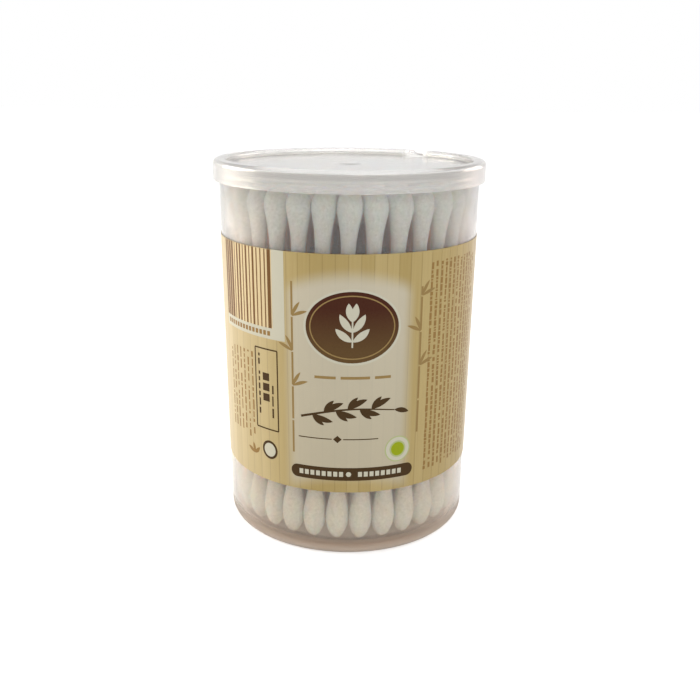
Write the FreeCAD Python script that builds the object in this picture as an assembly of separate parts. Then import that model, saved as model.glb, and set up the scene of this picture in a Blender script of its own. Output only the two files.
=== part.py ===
import FreeCAD, Part
import math
import os

# A round plastic tub of cotton swabs with wooden sticks.
#
# The tub is one thin moulding that widens from its foot to its rim. A printed
# film is wrapped round it, and a push-on lid closes it. The swabs stand upright
# inside, in rings around one in the middle, and fan out as the wall does.
#
# Millimetres, +Z up. The origin is the centre of the foot, on the table, and the
# front of the label faces -Y.

# Tub
TUB_HEIGHT = 81.9
TUB_RIM_RADIUS = 29.3
TUB_FOOT_RADIUS = 27.45
TUB_WALL = 0.8
FLOOR_THICKNESS = 0.9
FLOOR_LIFT = 1.8
FOOT_WIDTH = 1.5
FOOT_CORNER_RADIUS = 2.0
FOOT_DRAFT = 0.3
INNER_CORNER = 1.0
BEAD_DROP = 2.4
BEAD_HEIGHT = 0.25
BEAD_SLOPE = 0.6

# Lid
LID_WALL = 0.8
LID_SKIRT = 4.6
LID_EDGE_RADIUS = 1.0
LID_INNER_CHAMFER = 0.7
LID_SIDE_GAP = 0.15
LID_SEAT_GAP = 0.05
PANEL_RECESS = 1.4
PLUG_DEPTH = 0.9
PLUG_GAP = 0.15
GATE_RADIUS = 2.3
GATE_HEIGHT = 0.2
NICK_ANGLE = 53.0
NICK_WIDTH = 4.2
NICK_LEFT_DEPTH = 0.6
NICK_RIGHT_DEPTH = 1.3

# Label
LABEL_BOTTOM = 14.9
LABEL_HEIGHT = 51.3
LABEL_THICKNESS = 0.1
LABEL_GAP = 0.03

# Swabs
STICK_DIAMETER = 2.3
TIP_LENGTH = 15.0
TIP_BELLY_HEIGHT = 4.2
TIP_SHOULDER_DIAMETER = 3.3
TIP_SHOULDER_HEIGHT = 0.9
TIP_NECK_DIAMETER = 2.7

# How the swabs stand
ROW_COUNT = 5
FLOOR_GAP = 0.05
HEAD_ROOM = 3.15
WALL_GAP = 0.4
ROW_GAP = 0.08
SIDE_GAP = 0.36
CENTRE_GAP = 1.89
FRONT_ANGLE = -89.3
ROW_TWIST = 5.7

# Sides of the sticks and tips: the outer row is the one that shows through the wall
OUTER_SIDE_COUNT = 8
INNER_SIDE_COUNT = 6

UP = FreeCAD.Vector(0, 0, 1)


def point(radius, height):
    """A place in the section plane, where X is the distance from the middle."""
    return FreeCAD.Vector(radius, 0, height)


def outside_radius(height):
    """Radius of the tub's outer face at a height, without its bead and foot corner."""
    slope = (TUB_RIM_RADIUS - TUB_FOOT_RADIUS) / TUB_HEIGHT
    return TUB_FOOT_RADIUS + slope * height


def turned(corners):
    """A solid of revolution about Z from (place, corner radius) pairs of its section."""
    edges = []
    ends = []
    for index, (corner, radius) in enumerate(corners):
        if radius == 0:
            ends.append((corner, corner))
            continue
        back = (corners[index - 1][0] - corner).normalize()
        ahead = (corners[(index + 1) % len(corners)][0] - corner).normalize()
        half_angle = back.getAngle(ahead) / 2
        setback = radius / math.tan(half_angle)
        middle_line = (back + ahead).normalize()
        depth = radius / math.sin(half_angle) - radius
        start = corner + back * setback
        end = corner + ahead * setback
        edges.append(Part.Arc(start, corner + middle_line * depth, end).toShape())
        ends.append((start, end))
    for index, (start, end) in enumerate(ends):
        edges.append(Part.makeLine(ends[index - 1][1], start))
    outline = Part.Wire(Part.__sortEdges__(edges))
    return Part.Face(outline).revolve(FreeCAD.Vector(0, 0, 0), UP, 360)


def ring(diameter, height, sides):
    """Level corner points on a circle, with a flat between the first and the last facing along X."""
    corners = []
    for index in range(sides):
        angle = math.pi * (2 * index + 1) / sides
        corners.append(FreeCAD.Vector(math.cos(angle), math.sin(angle), 0) * (diameter / 2) + UP * height)
    return corners


def flat_face(corners):
    """A flat face through its corner points in turn."""
    return Part.Face(Part.makePolygon(corners + corners[:1]))


# Tub: thin wall, floor kicked up inside a foot ring, and a snap bead under the rim

FLOOR_TOP = FLOOR_LIFT + FLOOR_THICKNESS


def make_tub():
    foot_outer = TUB_FOOT_RADIUS - FOOT_CORNER_RADIUS
    foot_inner = foot_outer - FOOT_WIDTH
    step_radius = foot_inner + TUB_WALL
    bead_height = TUB_HEIGHT - BEAD_DROP
    bead_low = bead_height - BEAD_SLOPE
    bead_high = bead_height + BEAD_SLOPE
    groove = FLOOR_THICKNESS
    inner_foot = outside_radius(groove) - TUB_WALL
    return turned([
        (point(foot_inner, 0), 0),
        (point(TUB_FOOT_RADIUS, 0), FOOT_CORNER_RADIUS),
        (point(outside_radius(bead_low), bead_low), 0),
        (point(outside_radius(bead_height) + BEAD_HEIGHT, bead_height), 0),
        (point(outside_radius(bead_high), bead_high), 0),
        (point(TUB_RIM_RADIUS, TUB_HEIGHT), 0),
        (point(TUB_RIM_RADIUS - TUB_WALL, TUB_HEIGHT), 0),
        (point(outside_radius(groove + INNER_CORNER) - TUB_WALL, groove + INNER_CORNER), 0),
        (point(inner_foot - INNER_CORNER, groove), 0),
        (point(step_radius, groove), 0),
        (point(step_radius - FOOT_DRAFT, FLOOR_TOP), 0),
        (point(0, FLOOR_TOP), 0),
        (point(0, FLOOR_LIFT), 0),
        (point(foot_inner - FOOT_DRAFT, FLOOR_LIFT), 0),
    ])


# Lid: a raised rim that straddles the tub's rim, round a sunk panel

LID_TOP = TUB_HEIGHT + LID_SEAT_GAP + LID_WALL
SKIRT_INSIDE = TUB_RIM_RADIUS + BEAD_HEIGHT + LID_SIDE_GAP
LID_RADIUS = SKIRT_INSIDE + LID_WALL
PLUG_OUTSIDE = TUB_RIM_RADIUS - TUB_WALL - PLUG_GAP
PLUG_INSIDE = PLUG_OUTSIDE - LID_WALL


def make_lid():
    skirt_bottom = LID_TOP - LID_SKIRT
    roof = LID_TOP - LID_WALL
    panel_top = LID_TOP - PANEL_RECESS
    panel_under = panel_top - LID_WALL
    plug_bottom = panel_under - PLUG_DEPTH
    lid = turned([
        (point(LID_RADIUS, skirt_bottom), 0),
        (point(LID_RADIUS, LID_TOP), LID_EDGE_RADIUS),
        (point(PLUG_INSIDE + LID_INNER_CHAMFER, LID_TOP), 0),
        (point(PLUG_INSIDE, LID_TOP - LID_INNER_CHAMFER), 0),
        (point(PLUG_INSIDE, panel_top), 0),
        (point(GATE_RADIUS, panel_top), 0),
        (point(GATE_RADIUS, panel_top + GATE_HEIGHT), 0),
        (point(0, panel_top + GATE_HEIGHT), 0),
        (point(0, panel_under), 0),
        (point(PLUG_INSIDE, panel_under), 0),
        (point(PLUG_INSIDE, plug_bottom), 0),
        (point(PLUG_OUTSIDE, plug_bottom), 0),
        (point(PLUG_OUTSIDE, roof), 0),
        (point(SKIRT_INSIDE, roof), 0),
        (point(SKIRT_INSIDE, skirt_bottom), 0),
    ])
    return lid.cut(make_nick())


def make_nick():
    """The chip right through the raised rim, deeper towards the right of the front view."""
    start = PLUG_INSIDE - LID_WALL
    end = LID_RADIUS + LID_WALL
    above = LID_TOP + LID_WALL
    section = Part.makePolygon([
        FreeCAD.Vector(start, -NICK_WIDTH / 2, above),
        FreeCAD.Vector(start, -NICK_WIDTH / 2, LID_TOP - NICK_RIGHT_DEPTH),
        FreeCAD.Vector(start, NICK_WIDTH / 2, LID_TOP - NICK_LEFT_DEPTH),
        FreeCAD.Vector(start, NICK_WIDTH / 2, above),
        FreeCAD.Vector(start, -NICK_WIDTH / 2, above),
    ])
    wedge = Part.Face(section).extrude(FreeCAD.Vector(end - start, 0, 0))
    wedge.rotate(FreeCAD.Vector(0, 0, 0), UP, NICK_ANGLE)
    return wedge


# Label: a film sleeve that follows the wall's slope

def make_label():
    top = LABEL_BOTTOM + LABEL_HEIGHT
    low_radius = outside_radius(LABEL_BOTTOM) + LABEL_GAP
    high_radius = outside_radius(top) + LABEL_GAP
    return turned([
        (point(low_radius, LABEL_BOTTOM), 0),
        (point(low_radius + LABEL_THICKNESS, LABEL_BOTTOM), 0),
        (point(high_radius + LABEL_THICKNESS, top), 0),
        (point(high_radius, top), 0),
    ])


# Swabs: a stick with a wound cotton tip at each end
#
# The tub is made for its swabs, so they take their size from it. They are as long
# as stands clear under the tub's rim, and as thick as lets every row stand clear
# between the wall and the swab in the middle.

SWAB_LENGTH = TUB_HEIGHT - FLOOR_TOP - FLOOR_GAP - HEAD_ROOM
LOW_ROOM = outside_radius(FLOOR_TOP + TIP_BELLY_HEIGHT) - TUB_WALL - WALL_GAP
TIP_DIAMETER = (LOW_ROOM - CENTRE_GAP - (ROW_COUNT - 1) * ROW_GAP) / (ROW_COUNT + 0.5)


def make_tip(sides):
    """The lower tip, from the end that rests on the floor up to the neck, in flat facets."""
    end = FreeCAD.Vector(0, 0, 0)
    shoulder = ring(TIP_SHOULDER_DIAMETER, TIP_SHOULDER_HEIGHT, sides)
    belly = ring(TIP_DIAMETER, TIP_BELLY_HEIGHT, sides)
    neck = ring(TIP_NECK_DIAMETER, TIP_LENGTH, sides)
    faces = [flat_face(neck)]
    for index in range(sides):
        faces.append(flat_face([end, shoulder[index - 1], shoulder[index]]))
        for low, high in ((shoulder, belly), (belly, neck)):
            faces.append(flat_face([low[index - 1], low[index], high[index], high[index - 1]]))
    return Part.Solid(Part.Shell(faces))


def make_stick():
    """The bare part of the stick, from one neck to the other."""
    low_end = flat_face(ring(STICK_DIAMETER, TIP_LENGTH, INNER_SIDE_COUNT))
    return low_end.extrude(UP * (SWAB_LENGTH - 2 * TIP_LENGTH))


def make_swab(sides):
    """Stick, lower tip and upper tip of one swab, standing at the origin."""
    lower = make_tip(sides)
    upper = make_tip(sides)
    upper.rotate(FreeCAD.Vector(0, 0, SWAB_LENGTH / 2), FreeCAD.Vector(1, 0, 0), 180)
    return {"sticks": make_stick(), "lower_tips": lower, "upper_tips": upper}


def place_in_tub(low_radius, high_radius, angle):
    """Where a swab stands, for the angle of its upper end round the tub."""
    low_angle = math.radians(angle - ROW_TWIST)
    high_angle = math.radians(angle)
    low = FreeCAD.Vector(math.cos(low_angle), math.sin(low_angle), 0) * low_radius
    high = FreeCAD.Vector(math.cos(high_angle), math.sin(high_angle), 0) * high_radius
    across = high - low
    rise = math.sqrt(SWAB_LENGTH**2 - across.Length**2)
    lean = FreeCAD.Rotation(UP, across + UP * rise)
    facing = FreeCAD.Rotation(UP, angle)
    return FreeCAD.Placement(low + UP * (FLOOR_TOP + FLOOR_GAP), lean * facing)


def swab_rows():
    """Each ring of swabs as (lower radius, upper radius, count), the outer one first."""
    row_pitch = TIP_DIAMETER + ROW_GAP
    side_pitch = TIP_DIAMETER + SIDE_GAP
    high_room = outside_radius(FLOOR_TOP + SWAB_LENGTH - TIP_BELLY_HEIGHT) - TUB_WALL - WALL_GAP
    outer_low = LOW_ROOM - TIP_DIAMETER / 2
    outer_high = high_room - TIP_DIAMETER / 2
    fan = outer_high / outer_low
    rows = []
    for row in range(ROW_COUNT):
        radius = outer_low - row * row_pitch
        rows.append((radius, radius * fan, int(2 * math.pi * radius / side_pitch)))
    return rows


def make_row(low_radius, high_radius, count, sides):
    """One ring of swabs as three groups: its sticks, lower tips and upper tips."""
    groups = {}
    for name, shape in make_swab(sides).items():
        copies = []
        for index in range(count):
            angle = FRONT_ANGLE + 360 * index / count
            copy = shape.copy()
            copy.Placement = place_in_tub(low_radius, high_radius, angle) * shape.Placement
            copies.append(copy)
        groups[name] = Part.makeCompound(copies)
    return groups


def make_parts():
    parts = {"tub": make_tub(), "lid": make_lid(), "label": make_label()}
    for number, (low_radius, high_radius, count) in enumerate(swab_rows(), start=1):
        sides = OUTER_SIDE_COUNT if number == 1 else INNER_SIDE_COUNT
        for name, group in make_row(low_radius, high_radius, count, sides).items():
            parts[f"row_{number}_{name}"] = group
    for name, group in make_row(0, 0, 1, INNER_SIDE_COUNT).items():
        parts[f"centre_{name[:-1]}"] = group
    return parts


os.makedirs("parts", exist_ok=True)
for node, shape in make_parts().items():
    shape.exportStep(f"parts/{node}.step")
    print(node, len(shape.Solids), shape.isValid(), round(shape.Volume, 2))
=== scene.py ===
import math
import bmesh
import bpy
import numpy as np
from mathutils import Matrix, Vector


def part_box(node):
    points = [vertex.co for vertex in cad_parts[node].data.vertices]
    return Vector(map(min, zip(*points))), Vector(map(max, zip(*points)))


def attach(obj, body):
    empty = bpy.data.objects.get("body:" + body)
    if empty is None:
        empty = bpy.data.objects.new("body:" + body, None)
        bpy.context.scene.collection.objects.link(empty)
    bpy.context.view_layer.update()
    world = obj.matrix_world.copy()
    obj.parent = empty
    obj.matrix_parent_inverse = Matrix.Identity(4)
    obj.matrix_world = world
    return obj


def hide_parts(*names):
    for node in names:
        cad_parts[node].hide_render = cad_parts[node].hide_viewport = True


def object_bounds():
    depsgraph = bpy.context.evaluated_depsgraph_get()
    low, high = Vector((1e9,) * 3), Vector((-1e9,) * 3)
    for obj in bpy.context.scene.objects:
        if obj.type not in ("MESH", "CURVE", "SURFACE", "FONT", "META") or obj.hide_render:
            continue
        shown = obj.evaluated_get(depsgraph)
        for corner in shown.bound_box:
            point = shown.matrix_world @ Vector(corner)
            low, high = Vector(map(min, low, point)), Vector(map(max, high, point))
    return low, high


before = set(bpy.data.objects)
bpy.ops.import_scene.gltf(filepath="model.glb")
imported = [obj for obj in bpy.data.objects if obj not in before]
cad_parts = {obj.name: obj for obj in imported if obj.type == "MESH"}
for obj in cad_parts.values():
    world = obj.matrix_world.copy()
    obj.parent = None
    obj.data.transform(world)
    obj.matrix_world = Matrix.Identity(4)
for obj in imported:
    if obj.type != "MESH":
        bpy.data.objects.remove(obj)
cad_low, cad_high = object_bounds()

# Tub
# The cup is one thin injection moulding of polypropylene, wider at its rim than at its foot.
# Its floor is lifted inside a foot ring, and a snap bead runs round it under the rim. The
# plastic is clear with a little milk in it, from a polished mould.

MM = 0.001
TUB_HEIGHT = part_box("tub")[1].z / MM
RIM_RADIUS = 29.3
FOOT_RADIUS = 27.45
WALL = 0.8
FLOOR_LIFT = 1.8
FLOOR_TOP = 2.7
FOOT_RING_INSIDE = 23.95
FOOT_CORNER = 2.0
INNER_CORNER = 1.6
BEAD_DROP = 2.4
BEAD_PROUD = 0.25
BEAD_SLOPE = 0.6
ARC_STEPS = 7
HOLD = 0.1
TURN_STEPS = 288
SHARP_ANGLE = math.radians(40)
FOOT_HAZE = 0.45
WALL_HAZE = 0.12


def wall_radius(height):
    """Outer radius of the wall: a straight line from the foot's radius up to the rim's."""
    return FOOT_RADIUS + (RIM_RADIUS - FOOT_RADIUS) * height / TUB_HEIGHT


def rounded_outline(corners):
    """An outline through (radius, height, fillet) corners. Each fillet is an arc that touches both
    its sides, blended from its two end spokes by sines, with a point just outside each end, or a
    third of the way along a side that is too short for that."""
    corners = np.array(corners, float)
    places, fillets = corners[1:-1, :2], corners[1:-1, 2:]
    back = corners[:-2, :2] - places
    ahead = corners[2:, :2] - places
    back /= np.linalg.norm(back, axis=1, keepdims=True)
    ahead /= np.linalg.norm(ahead, axis=1, keepdims=True)
    half = np.arccos((back * ahead).sum(1, keepdims=True)) / 2
    middle = (back + ahead) / np.linalg.norm(back + ahead, axis=1, keepdims=True)
    centres = places + middle * fillets / np.sin(half)
    start = places + back * fillets / np.tan(half)
    end = places + ahead * fillets / np.tan(half)
    cut_back = np.pad(fillets[:, 0] / np.tan(half[:, 0]), 1)
    free = np.linalg.norm(np.diff(corners[:, :2], axis=0), axis=1) - cut_back[:-1] - cut_back[1:]
    hold = np.minimum(HOLD, free / 3)[:, None]
    sweep = (math.pi - 2 * half)[:, None]
    share = np.linspace(0, 1, ARC_STEPS + 1)[None, :, None]
    spokes = np.sin((1 - share) * sweep) * (start - centres)[:, None]
    spokes += np.sin(share * sweep) * (end - centres)[:, None]
    arcs = centres[:, None] + spokes / np.sin(sweep)
    held = [(start + back * hold[:-1])[:, None], arcs, (end + ahead * hold[1:])[:, None]]
    return np.concatenate([corners[:1, :2], np.concatenate(held, axis=1).reshape(-1, 2), corners[-1:, :2]])


def turned(outline, angles):
    """An outline turned about Z: x = r cos a, y = r sin a, z = h, as a grid of angles by points."""
    radius = np.broadcast_to(outline[:, 0], (len(angles), len(outline)))
    height = np.broadcast_to(outline[:, 1], radius.shape)
    return np.stack([radius * np.cos(angles)[:, None], radius * np.sin(angles)[:, None], height], axis=-1)


def grid_faces(rows, columns):
    """The squares between neighbours of a grid, as the numbers of their four corners."""
    corner = np.arange(rows * columns).reshape(rows, columns)
    squares = [corner[:-1, :-1], corner[1:, :-1], corner[1:, 1:], corner[:-1, 1:]]
    return np.stack(squares, axis=-1).reshape(-1, 4)


def new_piece(name, points, faces, material, body, replaced=(), print_map=None):
    """A smooth closed mesh from points in millimetres: the edges of a grid that meet are merged."""
    mesh = bpy.data.meshes.new(name)
    mesh.from_pydata((points.reshape(-1, 3) * MM).tolist(), [], faces.tolist())
    if print_map is not None:
        layer = mesh.uv_layers.new(name="print_map")
        layer.data.foreach_set("uv", print_map.reshape(-1, 2)[faces.ravel()].ravel())
    made = bmesh.new()
    made.from_mesh(mesh)
    bmesh.ops.remove_doubles(made, verts=made.verts, dist=0.0005 * MM)
    bmesh.ops.recalc_face_normals(made, faces=made.faces)
    made.to_mesh(mesh)
    made.free()
    mesh.polygons.foreach_set("use_smooth", np.ones(len(mesh.polygons), bool))
    mesh.set_sharp_from_angle(angle=SHARP_ANGLE)
    mesh.materials.append(material)
    piece = bpy.data.objects.new(name, mesh)
    bpy.context.scene.collection.objects.link(piece)
    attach(piece, body)
    if replaced:
        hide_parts(*replaced)
    return piece


def colour(code):
    """sRGB hex to linear: (c + 0.055) / 1.055 to the power 2.4, or c / 12.92 near black."""
    values = np.array([int(code[place:place + 2], 16) for place in (1, 3, 5)]) / 255
    linear = np.where(values <= 0.04045, values / 12.92, ((values + 0.055) / 1.055) ** 2.4)
    return (*linear.tolist(), 1.0)


def give(material, node, inputs):
    """Sets a node's inputs: a value stays on its own socket, and an output socket is linked."""
    for name, value in inputs.items():
        if isinstance(value, bpy.types.NodeSocket):
            material.node_tree.links.new(value, node.inputs[name])
        else:
            node.inputs[name].default_value = value
    return node


def add_node(material, kind, inputs, **settings):
    """A new node of a kind, with its settings and its inputs."""
    node = material.node_tree.nodes.new(kind)
    for name, value in settings.items():
        setattr(node, name, value)
    return give(material, node, inputs)


def new_material(name):
    """An empty material with its Principled shader."""
    material = bpy.data.materials.new(name)
    material.use_nodes = True
    return material, material.node_tree.nodes["Principled BSDF"]


def mixed(material, factor, first, second):
    """One colour mixed towards another by a factor."""
    node = add_node(material, "ShaderNodeMix", {0: factor, 6: first, 7: second}, data_type="RGBA")
    return node.outputs[2]


def soak_up(material, code, density):
    """Lets the plastic take up a little light along the way through it, so its edges look darker."""
    inside = add_node(material, "ShaderNodeVolumeAbsorption", {"Color": colour(code), "Density": density})
    give(material, material.node_tree.nodes["Material Output"], {"Volume": inside.outputs["Volume"]})


def tub_polypropylene():
    """Clear random-copolymer polypropylene, moulded: soft gloss, slight haze, faint flow ripple.
    Its colour is painted: warmer low down, standing in for warm light from inside, and brown at the floor and
    the foot, a painted shade and reflection of dark surroundings. The haze is rougher there."""
    material, shader = new_material("tub_polypropylene")
    place = add_node(material, "ShaderNodeTexCoord", {})
    parts = add_node(material, "ShaderNodeSeparateXYZ", {"Vector": place.outputs["Object"]})
    # Ramp from the floor and the foot up to the wall: it sets where the painted brown shade ends and where the
    # haze clears.
    painted_tint_ramp = add_node(material, "ShaderNodeMapRange", {
        "Value": parts.outputs["Z"], "From Min": FLOOR_LIFT * MM, "From Max": 5.0 * MM},
        interpolation_type="SMOOTHSTEP")
    high = add_node(material, "ShaderNodeMapRange", {
        "Value": parts.outputs["Z"], "From Min": 8.0 * MM, "From Max": 50.0 * MM})
    # Painted light: the wall is tinted warmer low down, standing in for warm light from inside the tub.
    wall = mixed(material, high.outputs["Result"], colour("#F4EEE5"), colour("#ECEBE9"))
    # Painted shade: the brown #CDBCAB at the floor and the foot stands in for dark surroundings reflected and
    # seen there.
    body = mixed(material, painted_tint_ramp.outputs["Result"], colour("#CDBCAB"), wall)
    haze = add_node(material, "ShaderNodeMapRange", {
        "Value": painted_tint_ramp.outputs["Result"], "To Min": FOOT_HAZE, "To Max": WALL_HAZE})
    ripple = add_node(material, "ShaderNodeTexNoise", {
        "Vector": place.outputs["Object"], "Scale": 1 / (11 * MM), "Detail": 1.0})
    bump = add_node(material, "ShaderNodeBump", {
        "Height": ripple.outputs["Fac"], "Strength": 0.15, "Distance": 0.4 * MM})
    give(material, shader, {
        "Base Color": body, "Roughness": haze.outputs["Result"], "IOR": 1.49,
        "Transmission Weight": 0.98, "Specular IOR Level": 0.25, "Normal": bump.outputs["Normal"]})
    soak_up(material, "#D9CFC2", 110.0)
    return material


bead = TUB_HEIGHT - BEAD_DROP
groove = FLOOR_TOP - FLOOR_LIFT
tub_outline = rounded_outline([
    (0, FLOOR_LIFT, 0),
    (FOOT_RING_INSIDE - 0.3, FLOOR_LIFT, 0.3),
    (FOOT_RING_INSIDE, 0, 0.3),
    (FOOT_RADIUS, 0, FOOT_CORNER),
    (wall_radius(bead - BEAD_SLOPE), bead - BEAD_SLOPE, 0.2),
    (wall_radius(bead) + BEAD_PROUD, bead, 0.3),
    (wall_radius(bead + BEAD_SLOPE), bead + BEAD_SLOPE, 0.2),
    (RIM_RADIUS, TUB_HEIGHT, 0.25),
    (RIM_RADIUS - WALL, TUB_HEIGHT, 0.25),
    (wall_radius(groove) - WALL, groove, INNER_CORNER),
    (FOOT_RING_INSIDE + WALL, groove, 0.2),
    (FOOT_RING_INSIDE + WALL - 0.3, FLOOR_TOP, 0.5),
    (0, FLOOR_TOP, 0),
])
turn_angles = np.linspace(0, 2 * math.pi, TURN_STEPS + 1) - math.pi / 2
tub_points = turned(tub_outline, turn_angles)
new_piece("tub_cup", tub_points, grid_faces(*tub_points.shape[:2]), tub_polypropylene(),
          "tub", ["tub"])

# Swab sticks
# A hundred bare bamboo sticks, turned round and cut to one length, stand in five rings round
# one in the middle. They fan out as the wall does and lean a little to one side, because the
# rings were twisted when the tub was filled. The cotton covers both their ends.

FLOOR_GAP = 0.05
HEAD_ROOM = 3.15
WALL_GAP = 0.4
ROW_GAP = 0.08
SIDE_GAP = 0.36
CENTRE_GAP = 1.89
ROW_COUNT = 5
FRONT_ANGLE = math.radians(-89.3)
ROW_TWIST = math.radians(5.7)
BELLY_HEIGHT = 4.2
TIP_LENGTH = 15.0
STICK_RADIUS = 1.15
STICK_COVERED = 0.6
STICK_SIDES = 10
SWAB_LENGTH = TUB_HEIGHT - FLOOR_TOP - FLOOR_GAP - HEAD_ROOM


def inside_room(height):
    """Room for the swabs at a height: the wall's inner radius less a clearance."""
    return wall_radius(height) - WALL - WALL_GAP


low_room = inside_room(FLOOR_TOP + BELLY_HEIGHT)
tip_width = (low_room - CENTRE_GAP - (ROW_COUNT - 1) * ROW_GAP) / (ROW_COUNT + 0.5)
row_lows = low_room - tip_width / 2 - np.arange(ROW_COUNT) * (tip_width + ROW_GAP)
row_fan = (inside_room(FLOOR_TOP + SWAB_LENGTH - BELLY_HEIGHT) - tip_width / 2) / row_lows[0]
row_counts = (2 * math.pi * row_lows / (tip_width + SIDE_GAP)).astype(int)


def standing(low_radius, count):
    """Foot point and three axes of each swab of a ring: the lower end is turned back by the twist,
    the long axis runs to the upper end, and the first cross axis faces away from the middle."""
    high_angle = FRONT_ANGLE + 2 * math.pi * np.arange(count) / count
    low_angle = high_angle - ROW_TWIST
    low = np.stack([np.cos(low_angle), np.sin(low_angle), 0 * low_angle], axis=-1) * low_radius
    high = np.stack([np.cos(high_angle), np.sin(high_angle), 0 * high_angle], axis=-1) * low_radius * row_fan
    along = high - low
    along[:, 2] = np.sqrt(SWAB_LENGTH ** 2 - (along ** 2).sum(1))
    along /= SWAB_LENGTH
    low[:, 2] = FLOOR_TOP + FLOOR_GAP
    out = np.stack([np.cos(high_angle), np.sin(high_angle), 0 * high_angle], axis=-1)
    out -= along * (out * along).sum(1, keepdims=True)
    out /= np.linalg.norm(out, axis=1, keepdims=True)
    return low, out, np.cross(along, out), along


def round_rods(stand, radii, heights, angles):
    """Grids round every swab of a ring: foot + out r cos a + aside r sin a + along h."""
    low, out, aside, along = (part[:, None, None] for part in stand)
    return low + out * (radii * np.cos(angles))[..., None] + aside * (radii * np.sin(angles))[..., None] \
        + along * heights[..., None]


def repeated_faces(copies, faces, points_each):
    """The same faces for each copy, numbered on from copy to copy."""
    return (faces[None] + np.arange(copies)[:, None, None] * points_each).reshape(-1, faces.shape[1])


def bamboo():
    """Turned moso bamboo: straw brown, dry and matt, with long fibres about 0.3 mm apart."""
    material, shader = new_material("bamboo")
    place = add_node(material, "ShaderNodeTexCoord", {})
    stretch = add_node(material, "ShaderNodeMapping", {
        "Vector": place.outputs["Object"], "Scale": (1.0, 1.0, 0.04)})
    fibre = add_node(material, "ShaderNodeTexNoise", {
        "Vector": stretch.outputs["Vector"], "Scale": 1 / (0.6 * MM), "Detail": 3.0})
    tone = add_node(material, "ShaderNodeValToRGB", {"Fac": fibre.outputs["Fac"]})
    tone.color_ramp.elements[0].color = colour("#96562C")
    tone.color_ramp.elements[1].color = colour("#CC8A52")
    tone.color_ramp.elements[0].position = 0.3
    tone.color_ramp.elements[1].position = 0.7
    bump = add_node(material, "ShaderNodeBump", {
        "Height": fibre.outputs["Fac"], "Strength": 0.3, "Distance": 0.05 * MM})
    give(material, shader, {
        "Base Color": tone.outputs["Color"], "Roughness": 0.62, "Normal": bump.outputs["Normal"]})
    return material


stick_material = bamboo()
stick_angles = np.linspace(0, 2 * math.pi, STICK_SIDES + 1)[:, None]
stick_heights = np.array([[TIP_LENGTH - STICK_COVERED, SWAB_LENGTH - TIP_LENGTH + STICK_COVERED]])
stick_heights = np.repeat(stick_heights, 2, axis=1)
stick_radii = np.array([[0, STICK_RADIUS, STICK_RADIUS, 0]])
rings = [(f"row_{number}", low, count) for number, (low, count) in enumerate(zip(row_lows, row_counts), 1)]
rings.append(("centre", 0.0, 1))
for ring_name, ring_low, ring_count in rings:
    stick_node = "centre_stick" if ring_name == "centre" else f"{ring_name}_sticks"
    grid_shape = (len(stick_angles), stick_radii.shape[1])
    rods = round_rods(standing(ring_low, ring_count), stick_radii, stick_heights, stick_angles)
    rod_faces = repeated_faces(ring_count, grid_faces(*grid_shape), grid_shape[0] * grid_shape[1])
    new_piece(f"{stick_node}_bamboo", rods, rod_faces, stick_material, "tub", [stick_node])

# Cotton tips
# Each end of a stick is wound with bleached cotton: a full round head that thins out along the
# stick. No two are quite alike, and the fibres stand out in a soft nap. The heads fill the room
# that they have, so they are fuller at the top, where the rings fan out, and at the wall.

HEAD_RADIUS = 2.24
OUTER_FULLNESS = 1.04
SIDE_FULLNESS = 1.07
NECK_RADIUS = 1.22
HEAD_FULLNESS = {"lower": 2.0, "upper": 2.3}
BELLIES = {"lower": 5.2, "upper": BELLY_HEIGHT}
NECK_FALL = {"lower": 0.8, "upper": 0.54}
WANDER = 0.025
NECK_REACH = 13.0
OUTER_TIP_SIDES = 20
INNER_TIP_SIDES = 10
OUTER_TIP_STEPS = 9
INNER_TIP_STEPS = 5


def cotton_radius(height, end):
    """Radius of a tip from its end: a blunt oval up to the belly, then a squared cosine that falls
    from the head's radius to the neck's. The lower heads stand on the floor and are more oval."""
    belly = BELLIES[end]
    rising = np.sqrt(1 - np.clip(1 - height / belly, 0, 1) ** HEAD_FULLNESS[end])
    fall = np.clip((height - belly) / (TIP_LENGTH - belly), 0, 1) ** NECK_FALL[end]
    tapering = NECK_RADIUS + (HEAD_RADIUS - NECK_RADIUS) * np.cos(math.pi / 2 * fall) ** 2
    return np.where(height < belly, HEAD_RADIUS * rising, tapering)


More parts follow.
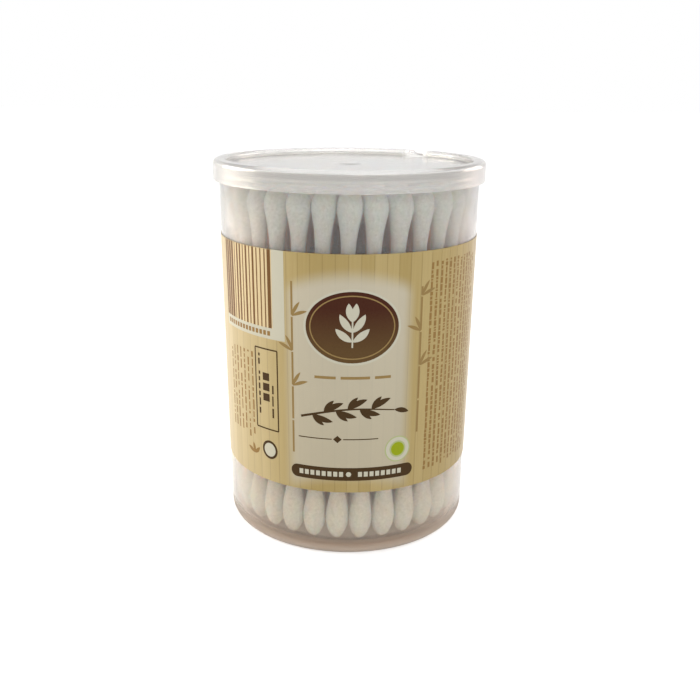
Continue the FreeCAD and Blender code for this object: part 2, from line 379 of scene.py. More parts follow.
def cotton(name, shade, light, show_through_and_shade):
    """Bleached wound cotton: warm white, fully matt with a soft sheen, fibres about 0.25 mm apart.
    Its tone runs from a shade to a light, and its necks run into a warm brown: partly the bamboo showing
    through thin cotton, partly painted shade in the gaps between the heads, the most on the inner rings."""
    material, shader = new_material(name)
    place = add_node(material, "ShaderNodeTexCoord", {})
    parts = add_node(material, "ShaderNodeSeparateXYZ", {"Vector": place.outputs["Object"]})
    from_middle = add_node(material, "ShaderNodeMath", {
        0: parts.outputs["Z"], 1: (FLOOR_TOP + FLOOR_GAP + SWAB_LENGTH / 2) * MM}, operation="SUBTRACT")
    neck_distance = add_node(material, "ShaderNodeMath", {0: from_middle.outputs[0]}, operation="ABSOLUTE")
    neck = SWAB_LENGTH / 2 - TIP_LENGTH
    painted_tint_ramp = add_node(material, "ShaderNodeMapRange", {
        "Value": neck_distance.outputs[0], "From Min": (neck + NECK_REACH) * MM, "From Max": neck * MM,
        "To Max": show_through_and_shade}, interpolation_type="SMOOTHSTEP")
    nap = add_node(material, "ShaderNodeTexNoise", {
        "Vector": place.outputs["Object"], "Scale": 1 / (0.5 * MM), "Detail": 4.0, "Roughness": 0.6})
    tone = add_node(material, "ShaderNodeValToRGB", {"Fac": nap.outputs["Fac"]})
    tone.color_ramp.elements[0].color = colour(shade)
    tone.color_ramp.elements[1].color = colour(light)
    tone.color_ramp.elements[0].position = 0.3
    tone.color_ramp.elements[1].position = 0.65
    # Partly painted shade: the warm brown #FF9A58 at the necks stands in for the bamboo showing through and for
    # shade between the heads.
    tinted_for_bamboo_and_shade = mixed(material, painted_tint_ramp.outputs["Result"], tone.outputs["Color"], colour("#FF9A58"))
    bump = add_node(material, "ShaderNodeBump", {
        "Height": nap.outputs["Fac"], "Strength": 0.5, "Distance": 0.12 * MM})
    give(material, shader, {
        "Base Color": tinted_for_bamboo_and_shade, "Subsurface Weight": 0.9, "Subsurface Radius": (1.0, 0.62, 0.42),
        "Subsurface Scale": 6 * MM, "Roughness": 0.95, "Sheen Weight": 0.25,
        "Sheen Roughness": 0.6, "Normal": bump.outputs["Normal"]})
    return material


# Painted shade: the outer ring's cotton is toned a darker grey-green than the white inner cotton, standing in
# for the shade inside the tub.
outer_cotton_painted_shade = cotton("outer_cotton_painted_shade", "#D9DCD5", "#F1F4EF", 0.18)
# The inner rings' necks take the full warm brown: painted shade in the gaps between the heads.
inner_cotton = cotton("inner_cotton", "#F4F2EC", "#FFFFFF", 1.0)
chance = np.random.default_rng(7)
for ring_name, ring_low, ring_count in rings:
    outer = ring_name == "row_1"
    tip_steps = OUTER_TIP_STEPS if outer else INNER_TIP_STEPS
    tip_sides = OUTER_TIP_SIDES if outer else INNER_TIP_SIDES
    tip_heights = np.concatenate([BELLY_HEIGHT * np.array([0, 0.03, 0.12, 0.3, 0.6]),
                                  np.linspace(BELLY_HEIGHT, TIP_LENGTH, tip_steps)])[None]
    tip_heights = np.concatenate([tip_heights, tip_heights[:, -1:]], axis=1)
    tip_angles = np.linspace(0, 2 * math.pi, tip_sides + 1)[:, None]
    for end in ("lower", "upper"):
        tip_node = f"centre_{end}_tip" if ring_name == "centre" else f"{ring_name}_{end}_tips"
        size, phase, lump = chance.uniform(-1, 1, (3, ring_count, 1, 1))
        fullness = (row_fan if end == "upper" else 1) * (OUTER_FULLNESS if outer else 1)
        tip_radii = cotton_radius(tip_heights, end)[None] * fullness * (1 + WANDER * size)
        tip_radii = tip_radii * (1 + WANDER * np.sin(2 * tip_angles + 9 * phase + lump * tip_heights / 3))
        tip_radii[..., -1] = 0
        heights = tip_heights if end == "lower" else SWAB_LENGTH - tip_heights
        low, out, aside, along = standing(ring_low, ring_count)
        if outer:
            aside = aside * SIDE_FULLNESS
        tips = round_rods((low, out, aside, along), tip_radii, heights[None], tip_angles)
        tip_faces = repeated_faces(ring_count, grid_faces(*tips.shape[1:3]), tips.shape[1] * tips.shape[2])
        new_piece(f"{tip_node}_cotton", tips, tip_faces, outer_cotton_painted_shade if outer else inner_cotton,
                  "tub", [tip_node])

# Label film
# A printed polypropylene film is wrapped once round the wall and glued where its ends overlap
# at the back. Its ground is printed as upright bamboo slats, gold at both sides and bleached
# to a pale field in the middle of the front.

LABEL_BOTTOM = 14.9
LABEL_HEIGHT = 51.3
FILM = 0.1
FILM_GAP = 0.03
LABEL_RADIUS = wall_radius(LABEL_BOTTOM + LABEL_HEIGHT / 2)
SLAT = 2.55
FIELD_MIDDLE = (0.2, 25.2)
FIELD_HALF = (13.2, 23.0)
FIELD_ARCH = 3.0
# Where the painted light on the film's left side is centred, across from the middle of the front.
PAINTED_LIGHT_SIDE = -30.0
OVERLAP = 6.0


def on_label(across, up, lift):
    """A place on the film: across is round the tub from the middle of the front, up is from the
    lower edge, and lift is out from the film's face. The angle is across over the mean radius."""
    angle = across / LABEL_RADIUS
    radius = wall_radius(LABEL_BOTTOM + up) + FILM_GAP + FILM + lift
    height = LABEL_BOTTOM + up + 0 * angle
    return np.stack([radius * np.sin(angle), -radius * np.cos(angle), height], axis=-1)


def math_node(material, operation, *values):
    """One Math node's result, from values or outputs in turn."""
    node = add_node(material, "ShaderNodeMath", dict(enumerate(values)), operation=operation)
    return node.outputs[0]


def printed_film():
    """Reverse-printed film: slats 2.55 mm wide in gold tones under a semi-gloss face. The grain
    lines are drawn about 0.5 mm apart, coarser than real bamboo, so that they show. The ink is
    backed with white, which is the side that faces the tub."""
    material, shader = new_material("label_film")
    place = add_node(material, "ShaderNodeUVMap", {}, uv_map="print_map")
    parts = add_node(material, "ShaderNodeSeparateXYZ", {"Vector": place.outputs["UV"]})
    across, up = parts.outputs["X"], parts.outputs["Y"]
    slats = math_node(material, "DIVIDE", across, SLAT)
    number = math_node(material, "FLOOR", slats)
    tone = add_node(material, "ShaderNodeTexWhiteNoise", {"W": number}, noise_dimensions="1D")
    gold = add_node(material, "ShaderNodeValToRGB", {"Fac": tone.outputs["Value"]})
    gold.color_ramp.elements[0].color = colour("#A8945F")
    gold.color_ramp.elements[1].color = colour("#B6A371")
    stretch = add_node(material, "ShaderNodeMapping", {
        "Vector": place.outputs["UV"], "Scale": (2.0, 0.06, 1.0)})
    grain = add_node(material, "ShaderNodeTexNoise", {
        "Vector": stretch.outputs["Vector"], "Scale": 1.0, "Detail": 3.0})
    in_slat = math_node(material, "FRACT", slats)
    from_joint = math_node(material, "PINGPONG", in_slat, 0.5)
    joint = math_node(material, "LESS_THAN", from_joint, 0.045)
    grained = mixed(material, math_node(material, "MULTIPLY", grain.outputs["Fac"], 0.35),
                    gold.outputs["Color"], colour("#826A3E"))
    jointed = mixed(material, math_node(material, "MULTIPLY", joint, 0.28), grained, colour("#6B5734"))
    # Painted light: the ground is lightened towards a band at the left, standing in for the left soft box's
    # light and gloss on the film.
    from_left = math_node(material, "ABSOLUTE", math_node(material, "SUBTRACT", across, PAINTED_LIGHT_SIDE))
    painted_light_band = add_node(material, "ShaderNodeMapRange", {
        "Value": from_left, "From Min": 22.0, "From Max": 4.0, "To Max": 0.22},
        interpolation_type="SMOOTHSTEP")
    lined = mixed(material, painted_light_band.outputs["Result"], jointed, colour("#E6DCC0"))
    aside = math_node(material, "ABSOLUTE", math_node(material, "SUBTRACT", across, FIELD_MIDDLE[0]))
    share = math_node(material, "DIVIDE", aside, FIELD_HALF[0])
    arch = math_node(material, "MULTIPLY", math_node(material, "MULTIPLY", share, share), FIELD_ARCH)
    arched = math_node(material, "ADD", math_node(material, "SUBTRACT", up, FIELD_MIDDLE[1]), arch)
    above = math_node(material, "ABSOLUTE", arched)
    near_side = add_node(material, "ShaderNodeMapRange", {
        "Value": aside, "From Min": FIELD_HALF[0] + 1.2, "From Max": FIELD_HALF[0] - 2.4},
        interpolation_type="SMOOTHSTEP")
    near_end = add_node(material, "ShaderNodeMapRange", {
        "Value": above, "From Min": FIELD_HALF[1] + 0.8, "From Max": FIELD_HALF[1] - 3.4},
        interpolation_type="SMOOTHSTEP")
    field = math_node(material, "MULTIPLY", near_side.outputs["Result"], near_end.outputs["Result"])
    fading = add_node(material, "ShaderNodeMapRange", {"Value": up, "From Min": 8.0, "From Max": 42.0})
    pale = mixed(material, fading.outputs["Result"], colour("#B5AE9B"), colour("#BDB7A6"))
    bleached = mixed(material, math_node(material, "MULTIPLY", field, 0.82), lined, pale)
    bump = add_node(material, "ShaderNodeBump", {
        "Height": grain.outputs["Fac"], "Strength": 0.05, "Distance": 0.02 * MM})
    face = add_node(material, "ShaderNodeNewGeometry", {})
    outward = add_node(material, "ShaderNodeVectorMath", {
        0: face.outputs["Position"], 1: (1, 1, 0)}, operation="MULTIPLY")
    facing = add_node(material, "ShaderNodeVectorMath", {
        0: face.outputs["True Normal"], 1: outward.outputs["Vector"]}, operation="DOT_PRODUCT")
    behind = math_node(material, "LESS_THAN", facing.outputs["Value"], 0.0)
    give(material, shader, {
        "Base Color": mixed(material, behind, bleached, colour("#F2EEE6")),
        "Roughness": 0.3, "Specular IOR Level": 0.15,
        "Normal": bump.outputs["Normal"]})
    return material


film_material = printed_film()
film_across = np.linspace(-math.pi, math.pi, TURN_STEPS + 1) * LABEL_RADIUS
film_loop = rounded_outline([
    (-FILM, LABEL_HEIGHT / 2, 0), (-FILM, 0, 0.02), (0, 0, 0.02), (0, LABEL_HEIGHT, 0.02),
    (-FILM, LABEL_HEIGHT, 0.02), (-FILM, LABEL_HEIGHT / 2, 0)])
film_lift, film_up = np.broadcast_arrays(*film_loop.T[:, None], film_across[:, None])[:2]
film_points = on_label(film_across[:, None], film_up, film_lift)
film_print = np.stack([np.broadcast_to(film_across[:, None], film_up.shape), film_up], axis=-1)
new_piece("label_sleeve", film_points, grid_faces(*film_points.shape[:2]), film_material,
          "tub", ["label"], film_print)
LABEL_BACK = math.pi * LABEL_RADIUS

# Label print
# The print is flat ink under the film's face, drawn here as thin inlays that stand 0.01 mm proud.
# It is a plain design of its own: a brown oval with a leaf sprig, a block of bars, columns of
# broken rules, an outlined box, a lying branch, a rule with a lozenge, a green disc, a brown band.

INK_STEP = 0.012
INK_UNDER = 0.03
INK_ROUGHNESS = 0.35
STROKE_STEPS = 8
LEAF_STEPS = 10


def ink(name, code, dark_code=None, dark_from=0.0, dark_to=0.0):
    """Gravure ink behind the film: an even colour, that may run into a second one up the label."""
    material, shader = new_material(name)
    place = add_node(material, "ShaderNodeUVMap", {}, uv_map="print_map")
    parts = add_node(material, "ShaderNodeSeparateXYZ", {"Vector": place.outputs["UV"]})
    run = add_node(material, "ShaderNodeMapRange", {
        "Value": parts.outputs["Y"], "From Min": dark_from, "From Max": dark_to + 0.001})
    screen = add_node(material, "ShaderNodeTexNoise", {
        "Vector": place.outputs["UV"], "Scale": 2.5, "Detail": 2.0})
    base = mixed(material, run.outputs["Result"], colour(code), colour(dark_code or code))
    uneven = mixed(material, math_node(material, "MULTIPLY", screen.outputs["Fac"], 0.025),
                   base, colour("#C9B183"))
    give(material, shader, {
        "Base Color": uneven, "Roughness": INK_ROUGHNESS, "Specular IOR Level": 0.1})
    return material


def inlay(name, shapes, material, level):
    """One ink's shapes as closed thin slabs. A shape is a grid of (across, up) places: its top is
    lifted off the film by the ink's level, its bottom lies inside the film, and sides join them."""
    points, faces, prints, start = [], [], [], 0
    for shape in shapes:
        rows, columns = shape.shape[:2]
        padded = np.pad(shape, ((1, 1), (1, 1), (0, 0)), mode="edge")
        low = np.pad(np.zeros((rows, columns)), 1, constant_values=1)
        lift = np.where(low == 1, -INK_UNDER, level * INK_STEP)
        top = on_label(padded[..., 0], padded[..., 1], lift)
        bottom = on_label(shape[..., 0], shape[..., 1], -INK_UNDER)
        for part, plan in ((top, padded), (bottom, shape)):
            points.append(part.reshape(-1, 3))
            prints.append(plan.reshape(-1, 2))
            faces.append(grid_faces(*part.shape[:2]) + start)
            start += part.shape[0] * part.shape[1]
    return new_piece(name, np.concatenate(points), np.concatenate(faces), material,
                     "tub", (), np.concatenate(prints))


def field_between(across, low, high):
    """A field of ink between a lower and an upper edge, each given along its places across."""
    low, high = np.broadcast_to(low, across.shape), np.broadcast_to(high, across.shape)
    return np.stack([np.stack([across, low], -1), np.stack([across, high], -1)], axis=1)


def block(left, right, low, high):
    """A rectangle of ink, cut across often enough to follow the film's turn."""
    return field_between(np.linspace(left, right, max(2, int((right - left) / 0.7) + 1)), low, high)


def oval(middle, half_width, half_height, steps=32):
    """An oval: the upper and lower edge are half the height times the sine of an even sweep."""
    sweep = np.linspace(0, math.pi, steps + 1)
    edge = half_height * np.sin(sweep)
    return field_between(middle[0] - half_width * np.cos(sweep), middle[1] - edge, middle[1] + edge)


def stroke(path, half_width):
    """A line of ink along a path, half its width to each side, square to the path."""
    along = np.gradient(path, axis=0)
    along /= np.linalg.norm(along, axis=1, keepdims=True)
    side = np.stack([-along[:, 1], along[:, 0]], axis=-1) * np.reshape(half_width, (-1, 1))
    return np.stack([path - side, path + side], axis=1)


def straight(start, end):
    """Even places on a straight line."""
    return np.linspace(start, end, STROKE_STEPS + 1)


def leaf(base, angle, length, half_width, bend):
    """A leaf: a bent line whose width swells and closes by a sine of the way along."""
    way = np.linspace(0, 1, LEAF_STEPS + 1)
    turn = math.radians(angle) + bend * way
    step = np.stack([np.cos(turn), np.sin(turn)], axis=-1) * length / LEAF_STEPS
    path = np.array(base) + np.cumsum(step, axis=0) - step[0]
    return stroke(path, half_width * np.sin(math.pi * way) ** 0.8 + 0.01)


def broken_rules(lines, low, high, thickness, longest, space):
    """Upright rules at places across, each broken into dashes of chance lengths from low to high.
    The dashes also differ a little in width, and one space in six is three times as long."""
    shapes = []
    for across in lines:
        up = low + chance.uniform(0, 4) * space
        while up < high - 0.4:
            top = min(up + chance.uniform(0.2, 1) * longest, high)
            left = across - thickness / 2 * chance.uniform(0.55, 1)
            right = across + thickness / 2 * chance.uniform(0.55, 1)
            shapes.append(block(left, right, up, top))
            up = top + space * (3 if chance.random() < 1 / 6 else 1)
    return shapes


dark_ink = ink("dark_brown_ink", "#3C2910")
brown_ink = ink("brown_ink", "#563F22", "#3C1608", 31.0, 40.0)
bar_ink = ink("bar_brown_ink", "#6A4A28")
tan_ink = ink("tan_brown_ink", "#8A6C3E")
cream_ink = ink("cream_ink", "#BDBAA8")
straw_ink = ink("straw_ink", "#CDBA92")
gold_ink = ink("gold_ink", "#8C7448")
green_ink = ink("green_ink", "#8C9A12")
pale_green_ink = ink("pale_green_ink", "#A5AE7C")

# Bars at the left, on a cream block with a plain margin
BARS_LEFT, BARS_RIGHT, MARGIN_RIGHT = -33.0, -16.2, -13.3
BARS_LOW, MARGIN_LOW = 34.6, 32.2
BAR_PITCH = 1.11
inlay("label_bar_margin", [block(BARS_LEFT, MARGIN_RIGHT, MARGIN_LOW, LABEL_HEIGHT)], cream_ink, 1)
inlay("label_bar_ground", [block(BARS_LEFT, BARS_RIGHT, BARS_LOW, LABEL_HEIGHT)], straw_ink, 2)
BAR_COUNT = 15
bar_widths = np.array([0.3, 0.55, 0.85])[chance.integers(0, 3, BAR_COUNT)]
bar_places = BARS_LEFT + 0.6 + np.arange(BAR_COUNT) * BAR_PITCH - bar_widths / 2
inlay("label_bars", [block(place, place + width, BARS_LOW, LABEL_HEIGHT - 0.05)
                     for place, width in zip(bar_places, bar_widths)], bar_ink, 3)
inlay("label_bar_dashes", [block(place, place + 0.75, MARGIN_LOW + 0.7, MARGIN_LOW + 1.7)
                           for place in np.arange(BARS_LEFT + 0.9, BARS_RIGHT - 1, BAR_PITCH)], tan_ink, 2)

# Outlined box and rules under the bars
BOX = (-21.4, -15.3, 11.9, 29.8)
LINE = 0.16
box_corners = [(BOX[0], BOX[2]), (BOX[1], BOX[2]), (BOX[1], BOX[3]), (BOX[0], BOX[3]), (BOX[0], BOX[2])]
box_lines = [stroke(straight(*ends), LINE) for ends in zip(box_corners, box_corners[1:])]
box_rules = broken_rules([-20.3], 13.2, 28.6, 0.55, 3.2, 0.5)
box_rules += broken_rules([-16.6], 13.2, 22.0, 0.55, 3.0, 0.5)
box_blocks = [block(-19.3, -17.5, low, low + 1.7) for low in (18.2, 20.5, 22.8)]
inlay("label_box", box_lines + box_blocks + box_rules, dark_ink, 1)
left_rules = broken_rules(np.arange(-31.2, -22.4, 1.45), 8.6, 28.4, 0.6, 2.4, 0.4)
inlay("label_left_rules", left_rules, tan_ink, 1)
inlay("label_left_disc", [oval((-17.8, 7.2), 2.1, 2.1)], dark_ink, 1)
inlay("label_left_disc_middle", [oval((-17.8, 7.2), 1.55, 1.55)], cream_ink, 2)
left_sprig = [leaf((-22.6, 5.2), angle, 2.4, 0.42, 0.3) for angle in (35, 90, 145)]
inlay("label_left_sprig", left_sprig, tan_ink, 1)

# Brown oval with a thin cream line and a leaf sprig
OVAL = (0.9, 36.2)
inlay("label_oval_rim", [oval(OVAL, 10.0, 8.0)], cream_ink, 1)
inlay("label_oval", [oval(OVAL, 9.5, 7.5)], brown_ink, 2)
ring_sweep = np.linspace(0, 2 * math.pi, 65)
ring_path = np.stack([OVAL[0] + 8.6 * np.cos(ring_sweep), OVAL[1] + 6.6 * np.sin(ring_sweep)], axis=-1)
inlay("label_oval_line", [stroke(ring_path, 0.13)], gold_ink, 3)
sprig = [stroke(straight((OVAL[0], OVAL[1] - 4.2), (OVAL[0], OVAL[1] + 2.0)), 0.16)]
sprig += [leaf((OVAL[0], OVAL[1] + low), 90 - turn, length, 0.75, 0.35 * math.copysign(1, turn))
          for low, turn, length in ((-3.0, 62, 4.4), (-3.0, -62, 4.4), (-1.0, 45, 4.6), (-1.0, -45, 4.6),
                                    (1.2, 22, 4.0), (1.2, -22, 4.0))]
inlay("label_oval_sprig", sprig, cream_ink, 3)

# Small rules, a lying branch of leaves, a rule with a lozenge, disc and band under the oval
inlay("label_small_rules", [block(-6.8, -2.4, 25.2, 25.8), block(-1.4, 4.6, 25.2, 25.8),
                            block(5.6, 9.0, 25.2, 25.8)], gold_ink, 1)
way = np.linspace(0, 1, 25)
branch_path = np.stack([-9.8 + 19.8 * way, 16.6 + 1.5 * way + 1.3 * np.sin(math.pi * way)], axis=-1)
branch = [stroke(branch_path, 0.26 - 0.14 * way)]
for number, place in enumerate(range(3, 20, 3)):
    side = 1 if number % 2 else -1
    for turn, length, half_width in ((34, 4.6, 0.62), (58, 3.4, 0.5)):
        branch.append(leaf(branch_path[place], 5 + side * turn, length, half_width, -0.35 * side))
branch.append(leaf(branch_path[-1], -4, 3.4, 0.55, -0.3))
inlay("label_branch", branch, dark_ink, 1)
RULE_UP = 11.9
RULE_TOP = RULE_UP + 0.22
lozenge = field_between(np.array([-2.9, -2.0, -1.1]), RULE_UP + np.array([0.1, -0.7, 0.1]),
                        RULE_UP + np.array([0.12, 0.92, 0.12]))
inlay("label_thin_rules", [block(-10.4, -3.2, RULE_UP, RULE_TOP), block(-0.8, 6.6, RULE_UP, RULE_TOP), lozenge],
      dark_ink, 1)
DISC = (11.0, 9.2)
inlay("label_disc_rim", [oval(DISC, 2.9, 2.9)], pale_green_ink, 1)
inlay("label_disc_ring", [oval(DISC, 2.65, 2.65)], cream_ink, 2)
inlay("label_disc_edge", [oval(DISC, 1.85, 1.85)], pale_green_ink, 3)
inlay("label_disc", [oval(DISC, 1.5, 1.5)], green_ink, 4)
BAND = (-12.2, 14.7, 2.7, 5.6)
band_radius = (BAND[3] - BAND[2]) / 2
band_across = np.concatenate([BAND[0] + band_radius * (1 - np.cos(np.linspace(0, math.pi / 2, 9))),
                              np.linspace(BAND[0] + band_radius, BAND[1] - band_radius, 32)[1:-1],
                              BAND[1] - band_radius * (1 - np.sin(np.linspace(0, math.pi / 2, 9)))])
from_end = np.minimum(band_across - BAND[0], BAND[1] - band_across)
band_half = band_radius * np.sqrt(1 - np.clip(1 - from_end / band_radius, 0, 1) ** 2)
band_middle = (BAND[2] + BAND[3]) / 2
band = field_between(band_across, band_middle - band_half, band_middle + band_half)
inlay("label_band", [band], dark_ink, 1)
DASH = (0.86, 1.1)
dash_starts = [*np.arange(-10.3, -1.6, 1.24), *np.arange(2.4, 12.2, 1.24)]
dash_low = band_middle - DASH[1] / 2
dash_high = band_middle + DASH[1] / 2
dashes = [block(left, left + DASH[0], dash_low, dash_high) for left in dash_starts]
dashes.append(oval((0.4, band_middle), 0.55, 0.55, 8))
inlay("label_band_dashes", dashes, cream_ink, 2)

# Bamboo stems at both sides of the field, and columns of broken rules at the right
STEM_PITCH = 7.5
STEM_GAP = 0.2
for name, across, low, high in (("left", -11.6, 8.0, 45.5), ("right", 15.6, 12.0, 44.0)):
    joints = np.arange(low, high, STEM_PITCH)
    tops = np.minimum(joints + STEM_PITCH - STEM_GAP, high)
    stems = [stroke(straight((across, joint + STEM_GAP), (across, top)), 0.22)
             for joint, top in zip(joints, tops)]
    turns = np.where(np.arange(len(joints)) % 2, 1, -1)
    stems += [leaf((across, joint), 90 + 38 * turn + spread, 3.6, 0.36, 0.3 * turn)
              for joint, turn in zip(joints[2:], turns[2:]) for spread in (-22, 18)]
    inlay(f"label_stem_{name}", stems, gold_ink, 1)
right_rules = broken_rules(np.arange(18.0, 35.5, 1.36), 2.8, 49.0, 0.74, 1.5, 0.22)
inlay("label_right_rules", right_rules, tan_ink, 1)
overlap = block(LABEL_BACK - OVERLAP / 2, LABEL_BACK + OVERLAP / 2, 0.05, LABEL_HEIGHT - 0.05)
inlay("label_overlap", [overlap], film_material, FILM / INK_STEP)

# Lid
# The lid is a push-on moulding of milkier polypropylene. Its raised rounded rim straddles the
# tub's rim, between a skirt outside and a short plug inside, round a sunk panel with a gate mark
# in its middle. A chip is out of the rim at the back right.

LID_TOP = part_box("lid")[1].z / MM
LID_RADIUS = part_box("lid")[1].x / MM
LID_WALL = 0.8
LID_SKIRT = 4.6
LID_EDGE = 1.0
LID_INNER_EDGE = 0.7
PANEL_RECESS = 1.4
PLUG_DEPTH = 0.9
PLUG_OUTSIDE = RIM_RADIUS - WALL - 0.15
PLUG_INSIDE = PLUG_OUTSIDE - LID_WALL
GATE_RADIUS = 2.3
GATE_PROUD = 0.2
NICK_ANGLE = math.radians(53)
NICK_WIDTH = 4.2
NICK_LEFT_DEPTH = 0.6
NICK_RIGHT_DEPTH = 1.3
CHIP_RADIUS = 27.5


def lid_polypropylene():
    """Milky polypropylene: whiter and hazier than the tub, because its wall scatters more light.
    Round the chip it is whiter and less clear."""
    material, shader = new_material("lid_polypropylene")
    place = add_node(material, "ShaderNodeTexCoord", {})
    chip_out = CHIP_RADIUS * np.array([math.cos(NICK_ANGLE), math.sin(NICK_ANGLE)])
    chip_place = np.array([*chip_out, LID_TOP]) * MM
    from_chip = add_node(material, "ShaderNodeVectorMath", {
        0: place.outputs["Object"], 1: chip_place.tolist()}, operation="DISTANCE")
    # Whiter and less clear within a few millimetres of the chip.
    white_round_chip = add_node(material, "ShaderNodeMapRange", {
        "Value": from_chip.outputs["Value"], "From Min": 4.2 * MM, "From Max": 2.4 * MM},
        interpolation_type="SMOOTHSTEP")
    clear = add_node(material, "ShaderNodeMapRange", {
        "Value": white_round_chip.outputs["Result"], "To Min": 0.84, "To Max": 0.25})
    ripple = add_node(material, "ShaderNodeTexNoise", {
        "Vector": place.outputs["Object"], "Scale": 1 / (14 * MM), "Detail": 2.0})
    bump = add_node(material, "ShaderNodeBump", {
        "Height": ripple.outputs["Fac"], "Strength": 0.08, "Distance": 0.5 * MM})
    give(material, shader, {
        "Base Color": mixed(material, white_round_chip.outputs["Result"], colour("#FDFCFA"), colour("#FFFFFF")),
        "Roughness": 0.17, "IOR": 1.49, "Transmission Weight": clear.outputs["Result"],
        "Normal": bump.outputs["Normal"]})
    soak_up(material, "#E6E3DE", 40.0)
    return material


panel_top = LID_TOP - PANEL_RECESS
roof = LID_TOP - LID_WALL
skirt_inside = LID_RADIUS - LID_WALL
plug_bottom = panel_top - LID_WALL - PLUG_DEPTH
lid_outline = rounded_outline([
    (0, panel_top + GATE_PROUD, 0),
    (GATE_RADIUS - 0.6, panel_top + GATE_PROUD, 1.0),
    (GATE_RADIUS + 0.6, panel_top, 1.0),
    (PLUG_INSIDE, panel_top, 0.3),
    (PLUG_INSIDE, LID_TOP, LID_INNER_EDGE),
    (LID_RADIUS, LID_TOP, LID_EDGE),
    (LID_RADIUS, LID_TOP - LID_SKIRT, 0.2),
    (skirt_inside, LID_TOP - LID_SKIRT, 0.2),
    (skirt_inside, roof, 0.3),
    (PLUG_OUTSIDE, roof, 0.3),
    (PLUG_OUTSIDE, plug_bottom, 0.2),
    (PLUG_INSIDE, plug_bottom, 0.2),
    (PLUG_INSIDE, panel_top - LID_WALL, 0.3),
    (0, panel_top - LID_WALL, 0),
])
lid_points = turned(lid_outline, turn_angles)
lid = new_piece("lid_cap", lid_points, grid_faces(*lid_points.shape[:2]), lid_polypropylene(),
                "lid", ["lid"])


def chip(piece):
    """Cuts the chip out of the rim: a block whose floor slants from the left depth to the right."""
    sides = np.array([-1, 1]) * NICK_WIDTH / 2
    reach = np.array([PLUG_INSIDE - LID_WALL, LID_RADIUS + LID_WALL])
    floors = LID_TOP - np.array([NICK_RIGHT_DEPTH, NICK_LEFT_DEPTH])
    corners = [(out, side, height) for out in reach for side, floor in zip(sides, floors)
               for height in (floor, LID_TOP + LID_WALL)]
    block_mesh = bpy.data.meshes.new("chip")
    quads = [(0, 1, 3, 2), (4, 6, 7, 5), (0, 4, 5, 1), (2, 3, 7, 6), (0, 2, 6, 4), (1, 5, 7, 3)]
    block_mesh.from_pydata((np.array(corners) * MM).tolist(), [], quads)
    block_mesh.transform(Matrix.Rotation(NICK_ANGLE, 4, "Z"))
    cutter = bpy.data.objects.new("chip", block_mesh)
    bpy.context.scene.collection.objects.link(cutter)
    trim = piece.modifiers.new("chip", "BOOLEAN")
    trim.object, trim.operation, trim.solver = cutter, "DIFFERENCE", "EXACT"
    trimmed = bpy.data.meshes.new_from_object(piece.evaluated_get(bpy.context.evaluated_depsgraph_get()))
    piece.modifiers.clear()
    piece.data = trimmed
    piece.data.set_sharp_from_angle(angle=SHARP_ANGLE)
    bpy.data.objects.remove(cutter)


chip(lid)

# Table and light
# The part stands on a plain white table in soft studio light: a soft box at the left, a weaker
# one at the right, a wide fill from the front, and an even white surround.

TABLE_SIZE = 6.0
SURROUND = 0.64
TABLE_GLOW = 0.52


def seen_directly(material_or_world):
    """One where a ray comes from the camera, a gloss or clear plastic, and nought elsewhere."""
    paths = add_node(material_or_world, "ShaderNodeLightPath", {})
    camera_or_gloss = math_node(material_or_world, "MAXIMUM", paths.outputs["Is Camera Ray"],
                                paths.outputs["Is Glossy Ray"])
    return math_node(material_or_world, "MAXIMUM", camera_or_gloss, paths.outputs["Is Transmission Ray"])


table_white, table_shader = new_material("table_white")
give(table_white, table_shader, {
    "Base Color": colour("#E8E8E8"), "Roughness": 0.9, "Emission Color": colour("#FFFFFF"),
    "Emission Strength": math_node(table_white, "MULTIPLY", seen_directly(table_white), TABLE_GLOW)})
table_mesh = bpy.data.meshes.new("table")
edge = TABLE_SIZE / 2
table_corners = [(-edge, -edge, 0), (edge, -edge, 0), (edge, edge, 0), (-edge, edge, 0)]
table_mesh.from_pydata(table_corners, [], [(0, 1, 2, 3)])
table_mesh.materials.append(table_white)
table = bpy.data.objects.new("table", table_mesh)
bpy.context.scene.collection.objects.link(table)

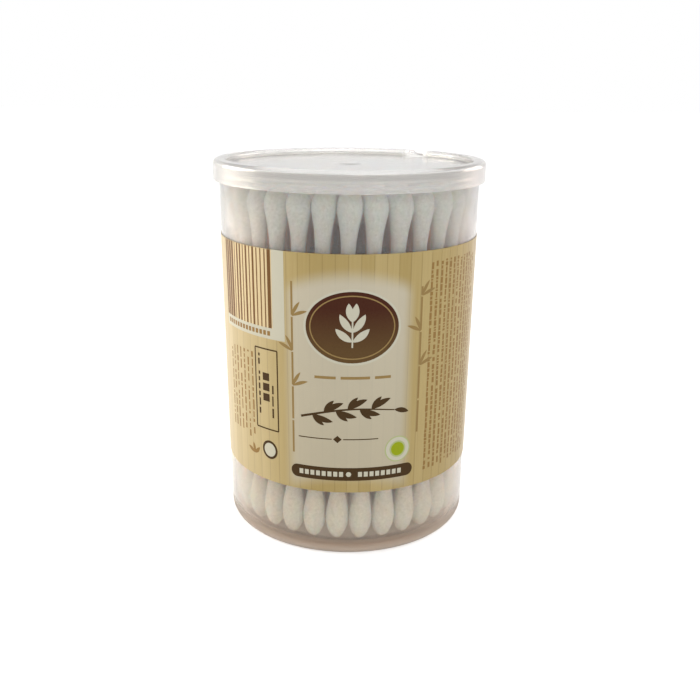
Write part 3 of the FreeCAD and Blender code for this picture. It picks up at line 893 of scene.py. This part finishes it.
surround = bpy.data.worlds.new("surround")
surround.use_nodes = True
background = surround.node_tree.nodes["Background"]
strength = add_node(surround, "ShaderNodeMapRange", {
    "Value": seen_directly(surround), "To Min": SURROUND, "To Max": 1.0})
give(surround, background, {"Color": colour("#FFFFFF"), "Strength": strength.outputs["Result"]})
bpy.context.scene.world = surround


def soft_box(name, place, target, width, height, power, code):
    """An area lamp at a place, turned to face a target."""
    lamp = bpy.data.lights.new(name, "AREA")
    lamp.shape, lamp.size, lamp.size_y = "RECTANGLE", width, height
    lamp.energy, lamp.color = power, colour(code)[:3]
    holder = bpy.data.objects.new(name, lamp)
    bpy.context.scene.collection.objects.link(holder)
    holder.location = place
    away = holder.location - target
    holder.rotation_euler = away.to_track_quat("Z", "Y").to_euler()


part_middle = (cad_low + cad_high) / 2
soft_box("left_soft_box", (-0.40, 0.09, 0.14), part_middle, 0.32, 0.18, 1.7, "#FFF5E8")
soft_box("right_soft_box", (0.35, 0.21, 0.14), part_middle, 0.24, 0.18, 0.48, "#FFE6DC")
soft_box("front_fill", (0.25, -0.60, 0.45), part_middle, 0.50, 0.50, 2.2, "#FFFFFF")

# Camera
# It stands where the photograph was taken: level with a little above the lid, close in, with the
# picture cropped from a taller frame, which is the small shift.

FRAME = 700
FOCAL = 860
SENSOR = 36.0
CENTRE = (348.5, 270.0)
EYE = (0, -0.1948, 0.0991)
LOOK_DOWN = 0.214
ROLL = 0.009
camera_data = bpy.data.cameras.new("camera")
camera_data.sensor_width = SENSOR
camera_data.lens = SENSOR * FOCAL / FRAME
camera_data.shift_x = (FRAME / 2 - CENTRE[0]) / FRAME
camera_data.shift_y = (CENTRE[1] - FRAME / 2) / FRAME
camera = bpy.data.objects.new("camera", camera_data)
bpy.context.scene.collection.objects.link(camera)
camera.matrix_world = Matrix.Translation(EYE) \
    @ Matrix.Rotation(math.pi / 2 - LOOK_DOWN, 4, "X") @ Matrix.Rotation(ROLL, 4, "Z")
bpy.context.scene.camera = camera
bpy.context.scene.view_settings.view_transform = "Standard"
